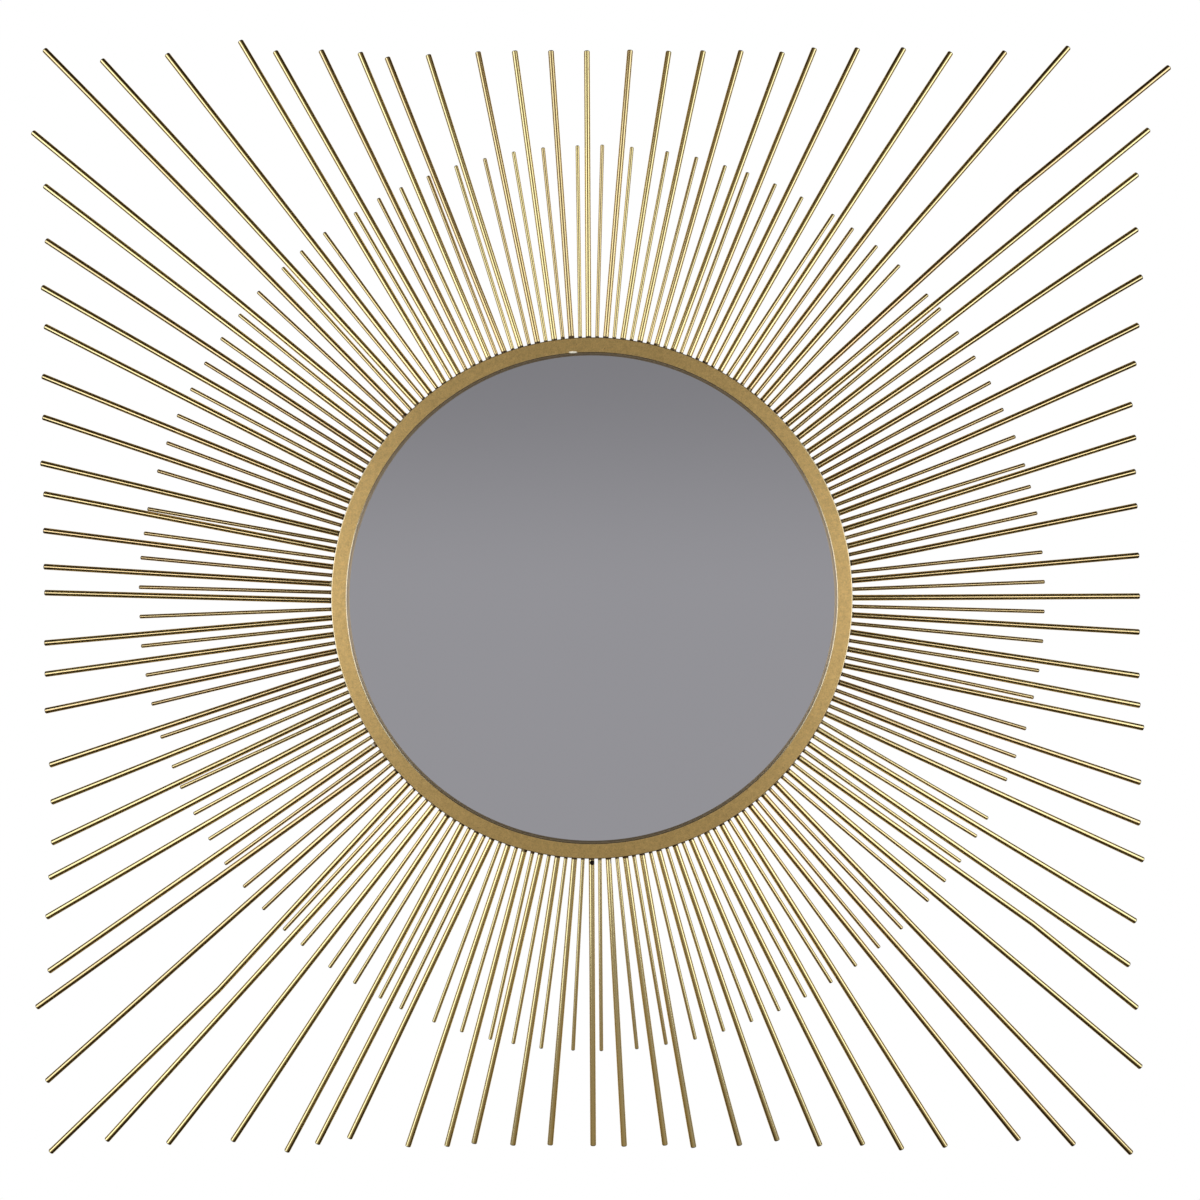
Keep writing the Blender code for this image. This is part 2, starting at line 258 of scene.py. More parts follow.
class Shade:
    """A value or colour in a node tree, so that shader maths reads as plain expressions."""

    def __init__(self, wiring, socket):
        self.wiring = wiring
        self.socket = socket

    def _math(self, operation, *values):
        return self.wiring.node("ShaderNodeMath", {"operation": operation},
                                dict(enumerate(values)))

    def __add__(self, other):
        return self._math("ADD", self, other)

    def __radd__(self, other):
        return self._math("ADD", other, self)

    def __sub__(self, other):
        return self._math("SUBTRACT", self, other)

    def __rsub__(self, other):
        return self._math("SUBTRACT", other, self)

    def __mul__(self, other):
        return self._math("MULTIPLY", self, other)

    def __rmul__(self, other):
        return self._math("MULTIPLY", other, self)

    def __abs__(self):
        return self._math("ABSOLUTE", self)

    def within(self, low, high):
        """0 below low, 1 above high, and a smooth step between; low may be the larger."""
        return self.wiring.node("ShaderNodeMapRange", {"interpolation_type": "SMOOTHSTEP"},
                                {0: self, 1: low, 2: high})

    def part(self, name):
        """One of the X, Y or Z parts of a vector."""
        return self.wiring.node("ShaderNodeSeparateXYZ", {}, {0: self}, name)


class Wiring:
    """The node tree of a material or of the world, with one way to add any node to it."""

    def __init__(self, owner):
        owner.use_nodes = True
        self.owner = owner
        self.tree = owner.node_tree

    def feed(self, socket, value):
        """Link a shade to a socket, or set the socket's own value."""
        if isinstance(value, Shade):
            self.tree.links.new(value.socket, socket)
        elif socket.type == "RGBA":
            socket.default_value = (*value[:3], 1)
        else:
            socket.default_value = value

    def node(self, kind, settings, inputs, output=0):
        """Add a node: its settings first, then its inputs. Returns one of its outputs."""
        node = self.tree.nodes.new(kind)
        for name, value in settings.items():
            setattr(node, name, value)
        for name, value in inputs.items():
            self.feed(node.inputs[name], value)
        return Shade(self, node.outputs[output])

    def own_place(self):
        """The place on the object, in metres, in the object's own frame."""
        return self.node("ShaderNodeTexCoord", {}, {}, "Object")

    def attribute(self, name):
        """A vector stored on the mesh's points."""
        return self.node("ShaderNodeAttribute", {"attribute_name": name}, {}, "Vector")

    def scaled(self, place, factors):
        """A place with each of its three parts multiplied."""
        return self.node("ShaderNodeVectorMath", {"operation": "MULTIPLY"},
                         {0: place, 1: factors})

    def moved(self, place, offset):
        """A place measured from another point."""
        return self.node("ShaderNodeVectorMath", {"operation": "SUBTRACT"},
                         {0: place, 1: offset})

    def size_of(self, place):
        """The length of a vector."""
        return self.node("ShaderNodeVectorMath", {"operation": "LENGTH"}, {0: place}, "Value")

    def noise(self, place, scale, detail, roughness=0.5):
        """Soft noise from 0 to 1 with grains of about 1 / scale metres."""
        return self.node("ShaderNodeTexNoise", {},
                         {"Vector": place, "Scale": scale, "Detail": detail,
                          "Roughness": roughness})

    def mix(self, amount, first, second):
        """A colour between two colours."""
        return self.node("ShaderNodeMix", {"data_type": "RGBA"},
                         {0: amount, 6: first, 7: second}, 2)

    def tint(self, base, factor):
        """A colour made lighter or darker by a value near 1."""
        grey = self.node("ShaderNodeCombineXYZ", {}, {0: factor, 1: factor, 2: factor})
        base = base if isinstance(base, Shade) else tuple(base)
        return self.node("ShaderNodeVectorMath", {"operation": "MULTIPLY"}, {0: base, 1: grey})

    def dabs(self, places):
        """1 within the radius, as seen from the front, of any of some places, which are counted
        right of and above the glass's centre, and 0 farther off."""
        total = 0
        for across, above, radius in places:
            offset = self.moved(self.own_place(), (CENTRE.x + across, 0, CENTRE.z + above))
            off = self.size_of(self.scaled(offset, (1, 0, 1)))
            total = off.within(radius * 1.15, radius * 0.85) + total
        return total

    def bump(self, height, distance, strength=1.0):
        """A normal from a height of 0 to 1 that stands for a distance in metres."""
        return self.node("ShaderNodeBump", {},
                         {"Strength": strength, "Distance": distance, "Height": height},
                         "Normal")


def new_finish(name):
    """An empty material's wiring and its shader's inputs."""
    wiring = Wiring(bpy.data.materials.new(name))
    return wiring, wiring.tree.nodes["Principled BSDF"].inputs


def rod_finish(finishes):
    """Drawn, polished gold wire: fine lengthwise streaks, small brown spots, root burnt and in
    painted shade.
    """
    wiring, shader = new_finish("rod_gold")
    place = wiring.attribute("rod_place")
    streaks = wiring.noise(wiring.scaled(place, (1, 1, 0.012)), 800, 2)
    cloud = wiring.noise(wiring.scaled(place, (1, 1, 0.4)), 60, 3)
    spots = wiring.noise(wiring.scaled(place, (1, 1, 0.5)), 420, 2).within(0.70, 0.78)
    reach = wiring.attribute("rod_reach")
    # burnt: darkens each rod's root by the hoop, partly burnt metal by the weld and partly painted
    # shade where the rim shades the roots.
    burnt = (reach.part("X") - 0.003 * cloud).within(0.0031, 0.0022)
    batch = wiring.mix(reach.part("Y"), finishes.rod_gold, finishes.copper_gold)
    shade = 0.80 + 0.06 * streaks + 0.06 * cloud + 0.20 * reach.part("Z")
    spotted = wiring.mix(spots * 0.35, wiring.tint(batch, shade), finishes.tarnish)
    # pale: painted highlights at two rod roots, drawn as cream dabs that are not metal.
    pale = wiring.dabs(GLINT_DABS)
    # black: two black marks, at the bottom rod's root and at rod 12's bend.
    black = wiring.dabs(BLACK_DABS)
    dabbed = wiring.mix(black, wiring.mix(pale, spotted, finishes.glint_and_scuff_cream), finishes.dab_black)
    wiring.feed(shader["Base Color"], wiring.mix(burnt * (1 - pale), dabbed, finishes.weld))
    wiring.feed(shader["Roughness"],
                finishes.rod_roughness - 0.02 + 0.04 * cloud + 0.2 * spots + 0.3 * burnt)
    wiring.feed(shader["Normal"], wiring.bump(streaks, 0.000002, 0.5))
    wiring.feed(shader["Metallic"], 1 - 0.8 * pale)
    return wiring.owner


def cut_finish(finishes):
    """The sawn end of a rod: browner and rougher than its side, with fine saw lines."""
    wiring, shader = new_finish("cut_gold")
    place = wiring.own_place()
    lines = wiring.noise(wiring.scaled(place, (1, 0.1, 1)), 2500, 1)
    wiring.feed(shader["Base Color"], wiring.mix(lines, finishes.tarnish, finishes.weld))
    wiring.feed(shader["Roughness"], 0.34 + 0.2 * lines)
    wiring.feed(shader["Normal"], wiring.bump(lines, 0.00004))
    shader["Metallic"].default_value = 1
    return wiring.owner


def weld_finish(finishes):
    """Burnt and gilded weld metal, lumpy and uneven in colour."""
    wiring, shader = new_finish("weld_gold")
    place = wiring.own_place()
    lumps = wiring.noise(place, 900, 3)
    patches = wiring.noise(place, 130, 2).within(0.45, 0.60)
    burnt = wiring.mix(lumps, finishes.weld, finishes.tarnish)
    wiring.feed(shader["Base Color"], wiring.mix(patches * 0.5, burnt, finishes.rod_gold))
    wiring.feed(shader["Roughness"], 0.35 + 0.25 * lumps)
    wiring.feed(shader["Normal"], wiring.bump(lumps, 0.00015))
    shader["Metallic"].default_value = 1
    return wiring.owner


def rim_finish(finishes, name):
    """Satin gold with a fine grain, faint clouds and tiny pits, worn smooth along its two front
    edges, left rough on its inner wall, and with one pale scuff at the top."""
    wiring, shader = new_finish(name)
    place = wiring.own_place()
    grain = wiring.noise(place, 900, 2, 0.6)
    mottle = wiring.noise(place, 260, 3)
    cloud = wiring.noise(place, 22, 2)
    pits = wiring.noise(place, 620, 1).within(0.70, 0.76)
    radius = wiring.size_of(wiring.scaled(wiring.moved(place, CENTRE), (1, 0, 1)))
    depth = place.part("Y")
    edge = (radius.within(RIM_OUTER - 0.0008, RIM_OUTER - 0.0004)
            + radius.within(RIM_INNER + 0.0008, RIM_INNER + 0.0004))
    wall = (radius.within(RIM_INNER + 0.0005, RIM_INNER + 0.0001)
            * depth.within(RIM_FRONT + 0.0005, RIM_FRONT + 0.0008))
    scuff_middle = (SCUFF_RIGHT, RIM_FRONT, CENTRE.z + RIM_INNER + SCUFF_ABOVE)
    scuff_place = wiring.scaled(wiring.moved(place, scuff_middle),
                                tuple(1 / reach for reach in SCUFF_REACH))
    scuff = (wiring.size_of(scuff_place) + 0.8 * mottle).within(1.5, 1.1)
    gold = wiring.tint(finishes.rim_gold, 0.42 + 0.60 * grain + 0.42 * mottle + 0.10 * cloud)
    pitted = wiring.mix(pits * 0.6, gold, finishes.tarnish)
    worn = wiring.mix(edge * 0.6, pitted, finishes.worn_edge)
    # The inner wall's darker gold: partly the colour of a plainer, unpolished wall and partly painted
    # shade for the recess by the glass.
    wall_gold_and_shade = wiring.tint(finishes.rim_wall_gold_and_shade, 0.85 + 0.3 * mottle)
    wiring.feed(shader["Base Color"],
                wiring.mix(scuff, wiring.mix(wall, worn, wall_gold_and_shade), finishes.glint_and_scuff_cream))
    satin = finishes.rim_roughness - 0.06 + 0.08 * grain + 0.06 * cloud
    wiring.feed(shader["Roughness"], satin - 0.18 * edge * (1 - wall) + 0.10 * wall)
    wiring.feed(shader["Normal"], wiring.bump(grain + 0.6 * mottle, 0.00003, 0.6))
    wiring.feed(shader["Metallic"], 1 - 0.8 * scuff)
    return wiring.owner


def glass_finish(finishes):
    """Silvered glass: a clean mirror with very faint wiping marks."""
    wiring, shader = new_finish("silvered_glass")
    place = wiring.own_place()
    haze = wiring.noise(place, 7, 3)
    wipes = wiring.noise(wiring.scaled(place, (1, 1, 0.15)), 90, 3)
    wiring.feed(shader["Base Color"], wiring.tint(finishes.silver, 0.985 + 0.02 * haze))
    wiring.feed(shader["Roughness"], 0.012 * haze * wipes)
    shader["Metallic"].default_value = 1
    return wiring.owner


def board_finish(finishes):
    """Fibreboard under thin dark paint: short matted fibres and a dusty, uneven sheen."""
    wiring, shader = new_finish("board_fibre")
    place = wiring.own_place()
    fibres = wiring.noise(wiring.scaled(place, (0.25, 1, 1)), 1400, 4, 0.7)
    crossing = wiring.noise(wiring.scaled(place, (1, 1, 0.25)), 1400, 4, 0.7)
    cloud = wiring.noise(place, 14, 3)
    mat = (fibres + crossing) * 0.5
    shade = wiring.tint(finishes.board, 0.7 + 0.5 * mat + 0.3 * cloud)
    worn = (mat * cloud).within(0.36, 0.42)
    wiring.feed(shader["Base Color"], wiring.mix(worn * 0.5, shade, finishes.bare_fibre))
    wiring.feed(shader["Roughness"], 0.66 + 0.2 * mat)
    wiring.feed(shader["Normal"], wiring.bump(mat, 0.0002, 0.7))
    return wiring.owner


def zinc_finish(finishes):
    """Zinc-plated sheet: rolling lines along its length and a patchy dull bloom."""
    wiring, shader = new_finish("rail_zinc")
    place = wiring.own_place()
    rolled = wiring.noise(wiring.scaled(place, (0.02, 1, 1)), 2200, 2)
    bloom = wiring.noise(place, 120, 3)
    wiring.feed(shader["Base Color"],
                wiring.tint(finishes.zinc, 0.84 + 0.12 * rolled + 0.14 * bloom))
    wiring.feed(shader["Roughness"], 0.28 + 0.16 * bloom + 0.06 * rolled)
    wiring.feed(shader["Normal"], wiring.bump(rolled, 0.00003, 0.6))
    shader["Metallic"].default_value = 1
    return wiring.owner


def steel_finish(finishes):
    """Turned steel of the screws, with a fine grain and faint stains."""
    wiring, shader = new_finish("screw_steel")
    place = wiring.own_place()
    grain = wiring.noise(place, 2600, 2)
    stain = wiring.noise(place, 300, 2)
    wiring.feed(shader["Base Color"],
                wiring.tint(finishes.steel, 0.78 + 0.2 * grain + 0.2 * stain))
    wiring.feed(shader["Roughness"], 0.24 + 0.14 * stain)
    wiring.feed(shader["Normal"], wiring.bump(grain, 0.00002, 0.6))
    shader["Metallic"].default_value = 1
    return wiring.owner


def floor_finish(studio):
    """Pale matt floor, faintly clouded, that fades away towards its edge."""
    wiring, shader = new_finish("pale_floor")
    place = wiring.own_place()
    cloud = wiring.noise(place, 6, 3)
    wiring.feed(shader["Base Color"], wiring.tint(studio.floor_tint, 0.98 + 0.04 * cloud))
    wiring.feed(shader["Roughness"], 0.6 + 0.1 * cloud)
    reach = wiring.size_of(wiring.scaled(place, (1, 1, 0)))
    fade_start = studio.floor_radius * 0.55
    wiring.feed(shader["Alpha"], reach.within(studio.floor_radius, fade_start))
    return wiring.owner


def new_piece(name, points, faces, *finishes):
    """A smooth object that sits at the origin, made from an array of points and lists of faces."""
    mesh = bpy.data.meshes.new(name)
    mesh.from_pydata(points.reshape(-1, 3).tolist(), [], faces)
    mesh.validate()
    mesh.shade_smooth()
    mesh.set_sharp_from_angle(angle=SHARP_ANGLE)
    for finish in finishes:
        mesh.materials.append(finish)
    piece = bpy.data.objects.new(name, mesh)
    bpy.context.scene.collection.objects.link(piece)
    return piece


def settle(piece, slot, *nodes):
    """Let a piece ride with the mirror and stand for the nodes that it replaces."""
    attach(piece, BODY)
    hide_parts(*nodes)


def unit(vectors):
    """Each row's direction, as a row of length 1."""
    return vectors / np.linalg.norm(vectors, axis=1)[:, None]


def even_turn(count):
    """Angles of a whole turn in equal steps."""
    return math.tau * np.arange(count) / count


def grid_faces(rows, columns, wrap_rows):
    """Quads over a grid of rows by columns of points, closed across the columns, and from the
    last row to the first too if wrap_rows is true."""
    count = rows if wrap_rows else rows - 1
    row = np.arange(count)[:, None]
    column = np.arange(columns)[None, :]
    after_row = (row + 1) % rows
    after_column = (column + 1) % columns
    corners = (row * columns + column, row * columns + after_column,
               after_row * columns + after_column, after_row * columns + column)
    quads = np.stack([np.broadcast_to(corner, (count, columns)) for corner in corners], -1)
    return quads.reshape(-1, 4)


def rounded(corners, radii, steps):
    """An outline whose corners are arcs: each arc runs between its two tangent points, and its
    points turn evenly about the corner's own centre. One more point follows a short way along
    the flat on either side, so that the flats are shaded flat."""
    corners = np.asarray(corners, float)
    before = unit(np.roll(corners, 1, axis=0) - corners)
    after = unit(np.roll(corners, -1, axis=0) - corners)
    radii = np.asarray(radii, float)
    half = np.arccos(np.clip((before * after).sum(1), -1, 1)) / 2
    centres = corners + unit(before + after) * (radii / np.sin(half))[:, None]
    tangent = (radii / np.tan(half))[:, None]
    starts = corners + before * tangent - centres
    ends = corners + after * tangent - centres
    share_of_turn = np.linspace(0, 1, steps)[None, :, None]
    turn = (math.pi - 2 * half)[:, None, None]
    arcs = (np.sin((1 - share_of_turn) * turn) * starts[:, None]
            + np.sin(share_of_turn * turn) * ends[:, None]) / np.sin(turn)
    lead = corners + before * (tangent + FLAT_LEAD)
    trail = corners + after * (tangent + FLAT_LEAD)
    outline = np.concatenate([lead[:, None], centres[:, None] + arcs, trail[:, None]], 1)
    return outline.reshape(-1, 2)


def face_outwards(piece):
    """Turn the faces of a closed piece so that they all point out."""
    bm = bmesh.new()
    bm.from_mesh(piece.data)
    bmesh.ops.recalc_face_normals(bm, faces=bm.faces)
    bm.to_mesh(piece.data)
    bm.free()


def seen_from_front(radius, angle, depth):
    """Points at distances and angles from the glass's centre, at given depths: x is the radius
    times the angle's cosine and z is the radius times its sine."""
    x = CENTRE.x + radius * np.cos(angle)
    z = CENTRE.z + radius * np.sin(angle)
    return np.stack([x, np.broadcast_to(depth, x.shape), z], -1)


def turned_piece(name, outline, segments, finish):
    """A ring: a closed outline of (radius, y) points carried round the glass's axis."""
    points = seen_from_front(outline[None, :, 0], even_turn(segments)[:, None],
                             outline[None, :, 1])
    faces = grid_faces(segments, len(outline), True).tolist()
    piece = new_piece(name, points, faces, finish)
    face_outwards(piece)
    return piece


def burst_angle(sizes, nominal, radius):
    """Where an evenly spaced angle comes to lie, as the burst is turned and shifted."""
    sideways = sizes.shift_z * np.cos(nominal) - sizes.shift_x * np.sin(nominal)
    return nominal + sizes.turn + sideways / radius


def square_reach(sizes, nominal):
    """Distance from the centre to the square's edge, at an angle."""
    return sizes.square_side / 2 / np.maximum(abs(np.cos(nominal)), abs(np.sin(nominal)))


def listed(table, count):
    """A row of metres by rod number from a table of millimetres, 0 where the table has none."""
    row = np.zeros(count)
    row[list(table)] = np.array(list(table.values())) * 0.001
    return row


def rod_lines(sizes, nominal, reach, stray, bends):
    """The lines of many rods at once: start, bend or middle, and tip, as (rods, 3, 3) points. A
    point's angle is its evenly spaced angle, turned with the burst and moved by its stray."""
    number = np.arange(len(nominal))
    start = np.full(len(nominal), HOOP_INNER + sizes.hoop_wall / 2)
    bend = (start + reach) / 2
    bend_stray = stray / 2
    for rod, (distance, aside) in bends.items():
        bend[rod] = distance
        bend_stray[rod] = aside
    lean = sizes.depth_stray * np.sin(2.4 * number)
    stations = []
    for radius, aside in ((start, 0 * stray), (bend, bend_stray), (reach, stray)):
        angle = burst_angle(sizes, nominal, radius) + aside / radius
        along = (radius - start) / (reach - start)
        stations.append(seen_from_front(radius, angle, ROD_DEPTH + lean * along))
    return np.stack(stations, 1)


def long_rod_lines(sizes):
    """Lines of the long rods, which end on the square."""
    nominal = even_turn(sizes.rod_pairs)
    stray = listed(LONG_STRAYS_MM, sizes.rod_pairs)
    reach = square_reach(sizes, nominal) + listed(LONG_REACH_MM, sizes.rod_pairs)
    return rod_lines(sizes, nominal, reach, stray, LONG_BENDS)


def short_rod_lines(sizes):
    """Lines of the short rods, half a pitch on, which end on a circle."""
    nominal = even_turn(sizes.rod_pairs) + math.pi / sizes.rod_pairs
    stray = listed(SHORT_STRAYS_MM, sizes.rod_pairs)
    reach = np.full(sizes.rod_pairs, sizes.short_reach)
    return rod_lines(sizes, nominal, reach, stray, {})


def circles_across(axis, sides):
    """A circle of radius 1 across each axis: the way square to the axis and to Y times the angle's
    cosine, plus the way square to both of those times its sine."""
    across = unit(np.cross(axis, (0, 1, 0)))
    upright = np.cross(across, axis)
    turn = even_turn(sides)[:, None]
    return across[:, None] * np.cos(turn) + upright[:, None] * np.sin(turn)


def tubes(lines, stops, radii, sides):
    """Round bars along many lines at once. A stop is (0, s), (1, s) or (2, s): a station of the
    line and a distance past it along the bar. The grid is (bars, stops, sides): each point is the
    stop's place plus a circle across the bar, times the stop's radius."""
    axis = unit(lines[:, 2] - lines[:, 0])
    circle = circles_across(axis, sides)
    rings = []
    for (station, past), radius in zip(stops, radii):
        rings.append((lines[:, station] + axis * past)[:, None] + circle * radius)
    return np.stack(rings, 1)


def tube_faces(bars, stops, sides):
    """Quads along the sides of every bar, then every bar's flat start and every flat end."""
    per_bar = grid_faces(stops, sides, False)
    offsets = np.arange(bars)[:, None, None] * stops * sides
    quads = (per_bar[None] + offsets).reshape(-1, 4)
    ring = np.arange(sides)[None, :] + np.arange(bars)[:, None] * stops * sides
    ends = np.concatenate([ring[:, ::-1], ring + (stops - 1) * sides])
    return quads.tolist() + ends.tolist()


def add_vector(mesh, name, values):
    """Store a vector on each point of a mesh."""
    layer = mesh.attributes.new(name, "FLOAT_VECTOR", "POINT")
    layer.data.foreach_set("vector", np.ascontiguousarray(values, dtype=np.float32).ravel())


def make_rods(name, sizes, lines, diameter, lightness, reflection_brown_rods, finishes):
    """One object with all the long or all the short rods: round bars with square-cut ends and a
    small broken edge. rod_place holds each point's place in its own rod's frame, for the streaks.
    rod_reach holds its distance from the hoop and two shares of its rod, from 0 to 1, that follow
    sines of the rod's number: how brown the gold is, and how light, at most lightness."""
    bars = len(lines)
    edge = sizes.cut_edge
    stops = [(0, 0), (1, 0), (2, -edge), (2, 0)]
    radii = [diameter / 2, diameter / 2, diameter / 2, diameter / 2 - edge]
    points = tubes(lines, stops, radii, ROD_SIDES)
    faces = tube_faces(bars, len(stops), ROD_SIDES)
    piece = new_piece(name, points, faces, *finishes)
    plain, cut = 0, 1
    rounds = bars * (len(stops) - 1) * ROD_SIDES
    material_index = np.full(len(faces), plain, np.int32)
    material_index[:rounds].reshape(bars, len(stops) - 1, ROD_SIDES)[:, -1] = cut
    material_index[rounds + bars:] = cut
    piece.data.polygons.foreach_set("material_index", material_index)
    face_outwards(piece)
    number = np.arange(bars)[:, None, None]
    reach = np.linalg.norm(points.mean(2) - lines[:, :1], axis=2)
    turn = even_turn(ROD_SIDES)
    local = np.zeros(points.shape)
    local[..., 0] = np.cos(turn) * diameter / 2
    local[..., 1] = np.sin(turn) * diameter / 2
    local[..., 2] = reach[..., None] + number * STREAK_STEP
    add_vector(piece.data, "rod_place", local)
    reaches = np.zeros(points.shape)
    reaches[..., 0] = reach[..., None] - sizes.hoop_wall / 2
    reaches[..., 1] = 0.7 * (0.5 + 0.5 * np.sin(2.7 * number ** 1.3)) ** 3
    # Listed rods are made fully brown: painted reflection, standing in for what the bent rod's tilt
    # reflects.
    reaches[list(reflection_brown_rods), ..., 1] = 1
    reaches[..., 2] = lightness * (0.8 + 0.2 * np.sin(1.9 * number ** 1.2 + 2))
    add_vector(piece.data, "rod_reach", reaches)
    return piece


def make_welds(name, sizes, lines, diameter, finish):
    """Weld beads: at each rod's root a collar whose radius falls off with the square of the
    distance from the hoop, with lumps that follow sines of the angle and the rod's number."""
    number = np.arange(len(lines))
    size = 1 + 0.35 * np.sin(5.1 * number) + 0.25 * np.sin(2.3 * number + 1)
    share_out = np.array([-0.25, 0.0, 0.3, 0.65, 1.0])
    fall = np.clip(1 - share_out, 0, 1) ** 2
    reach = sizes.weld_reach * size[:, None] * share_out[None, :]
    swell = sizes.weld_swell * size[:, None] * fall[None, :]
    turn = even_turn(WELD_SIDES)
    lumps = (1 + 0.22 * np.sin(2 * turn[None, :] + 1.7 * number[:, None])
             + 0.14 * np.sin(3 * turn[None, :] + 2.9 * number[:, None]))
    radius = diameter / 2 + WELD_SKIN + swell[..., None] * lumps[:, None, :]
    axis = unit(lines[:, 1] - lines[:, 0])
    root = lines[:, 0] + axis * (sizes.hoop_wall / 2)
    rings = root[:, None] + axis[:, None] * reach[..., None]
    points = rings[:, :, None] + circles_across(axis, WELD_SIDES)[:, None] * radius[..., None]
    faces = tube_faces(len(lines), len(share_out), WELD_SIDES)
    piece = new_piece(name, points, faces, finish)
    face_outwards(piece)
    return piece


def rail_outline(sizes):
    """The Z-section of the hanging rail as (y, z) points with rounded bends, read from its box:
    the rear leg on the wall, the web at its top, and the base that goes up from the web. The
    sheet is a little thinner where it is bent."""
    low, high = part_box("hanging_rail")
    sheet = sizes.rail_sheet
    top = low.z + (high.z - low.z) / 2
    corners = [
        (high.y, low.z), (high.y, top), (low.y + sheet, top), (low.y + sheet, high.z),
        (low.y, high.z), (low.y, top - sheet), (high.y - sheet, top - sheet),
        (high.y - sheet, low.z),
    ]
    edge = sizes.rail_edge
    inner = sizes.rail_bend
    outer = inner + sheet * 0.8
    radii = [edge, outer, inner, edge, edge, outer, inner, edge]
    return rounded(corners, radii, 5)


def make_rail(sizes, finish):
    """The rail's outline carried along X from end to end, and half a percent smaller at the very
    ends."""
    outline = rail_outline(sizes)
    low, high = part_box("hanging_rail")
    middle = outline.mean(0)
    edge = sizes.rail_edge
    stops = np.array([low.x, low.x + edge, high.x - edge, high.x])
    growth = np.array([0.995, 1, 1, 0.995])[:, None, None]
    rings = middle + (outline[None] - middle) * growth
    x = np.broadcast_to(stops[:, None], rings.shape[:2])
    points = np.concatenate([x[..., None], rings], -1)
    piece = new_piece("rail_strip", points, tube_faces(1, len(stops), len(outline)), finish)
    face_outwards(piece)
    return piece


def make_screw(node, sizes, finish):
    """A pan-head screw: rings of points that run down a dome, under the head and down the shank.
    A cross is pressed into the dome, as deep as the recess near two crossed lines, and less deep
    in proportion to the distance farther from them and towards their ends."""
    low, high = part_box(node)
    radius = (high.x - low.x) / 2
    underside = high.y - sizes.screw_head
    angle = even_turn(SCREW_SEGMENTS)[None, :]
    ring = np.linspace(0.02, 1, 22)[:, None]
    x = radius * ring * np.cos(angle)
    z = radius * ring * np.sin(angle)
    dome = sizes.screw_head * (0.55 + 0.45 * np.sqrt(np.clip(1 - ring ** 2.6, 0, 1)))
    arm_width = 0.16 * radius
    arm_length = 0.62 * radius
    nearer = np.minimum(abs(x), abs(z)) / arm_width
    farther = np.maximum(abs(x), abs(z)) / arm_length
    cross = np.clip(1.6 - nearer, 0, 1) * np.clip((1.0 - farther) * 3, 0, 1)
    rings = [np.stack([x, underside + dome - sizes.screw_recess * cross, z], -1)]
    for part_of_radius, depth in ((1, underside), (SHANK_SHARE, underside), (SHANK_SHARE, low.y)):
        reach = radius * part_of_radius
        rings.append(np.stack([reach * np.cos(angle), np.full_like(angle, depth),
                               reach * np.sin(angle)], -1))
    points = np.concatenate(rings) + ((low.x + high.x) / 2, 0, (low.z + high.z) / 2)
    piece = new_piece(f"{node}_head", points, tube_faces(1, len(points), SCREW_SEGMENTS), finish)
    face_outwards(piece)
    return piece


class WALL_MIRROR_OT_rim(bpy.types.Operator):
    """Make the satin gold rim with its soft front edges"""

    bl_idname = "wall_mirror.rim"
    bl_label = "Rim"

    def execute(self, context):
        sizes = context.scene.mirror_body
        corners = [(RIM_INNER, RIM_BACK), (RIM_INNER, RIM_FRONT),
                   (RIM_OUTER, RIM_FRONT), (RIM_OUTER, RIM_BACK)]
        edges = [sizes.rim_back_edge, sizes.rim_edge, sizes.rim_edge, sizes.rim_back_edge]
        finish = rim_finish(context.scene.mirror_finishes, "rim_gold")
        piece = turned_piece("rim_ring", rounded(corners, edges, 7), RIM_SEGMENTS, finish)
        settle(piece, "rim_gold", "rim")
        return {"FINISHED"}


class WALL_MIRROR_OT_burst(bpy.types.Operator):
    """Make the hoop, the long and short rods, and the welds that join them"""

    bl_idname = "wall_mirror.burst"
    bl_label = "Rods and hoop"

    def execute(self, context):
        sizes = context.scene.mirror_burst
        finishes = context.scene.mirror_finishes
        gold = rod_finish(finishes)
        ends = cut_finish(finishes)
        weld = weld_finish(finishes)
        outer = HOOP_INNER + sizes.hoop_wall
        corners = [(HOOP_INNER, HOOP_BACK), (HOOP_INNER, HOOP_FRONT),
                   (outer, HOOP_FRONT), (outer, HOOP_BACK)]
        outline = rounded(corners, [sizes.hoop_edge] * 4, 4)
        hoop = turned_piece("hoop", outline, HOOP_SEGMENTS, rim_finish(finishes, "hoop_gold"))
        settle(hoop, "rod_gold", "rod_burst")
        long_lines = long_rod_lines(sizes)
        short_lines = short_rod_lines(sizes)
        for name, lines, diameter, lightness, reflection_brown_rods in (
                ("long_rods", long_lines, sizes.long_rod, 1.0, REFLECTION_BROWN_LONG_RODS),
                ("short_rods", short_lines, sizes.short_rod, 0.3, ())):
            rods = make_rods(name, sizes, lines, diameter, lightness, reflection_brown_rods, (gold, ends))
            settle(rods, "rod_gold", "rod_burst")
            welds = make_welds(f"{name}_welds", sizes, lines, diameter, weld)
            settle(welds, "rod_gold", "rod_burst")
        return {"FINISHED"}


class WALL_MIRROR_OT_glass(bpy.types.Operator):
    """Give the glass its silvering and the board behind it its dark paint"""

    bl_idname = "wall_mirror.glass"
    bl_label = "Glass and board"

    def execute(self, context):
        finishes = context.scene.mirror_finishes
        for node, finish in (("mirror_glass", glass_finish(finishes)),
                             ("backing_board", board_finish(finishes))):
            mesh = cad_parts[node].data
            mesh.materials.clear()
            mesh.materials.append(finish)
        return {"FINISHED"}


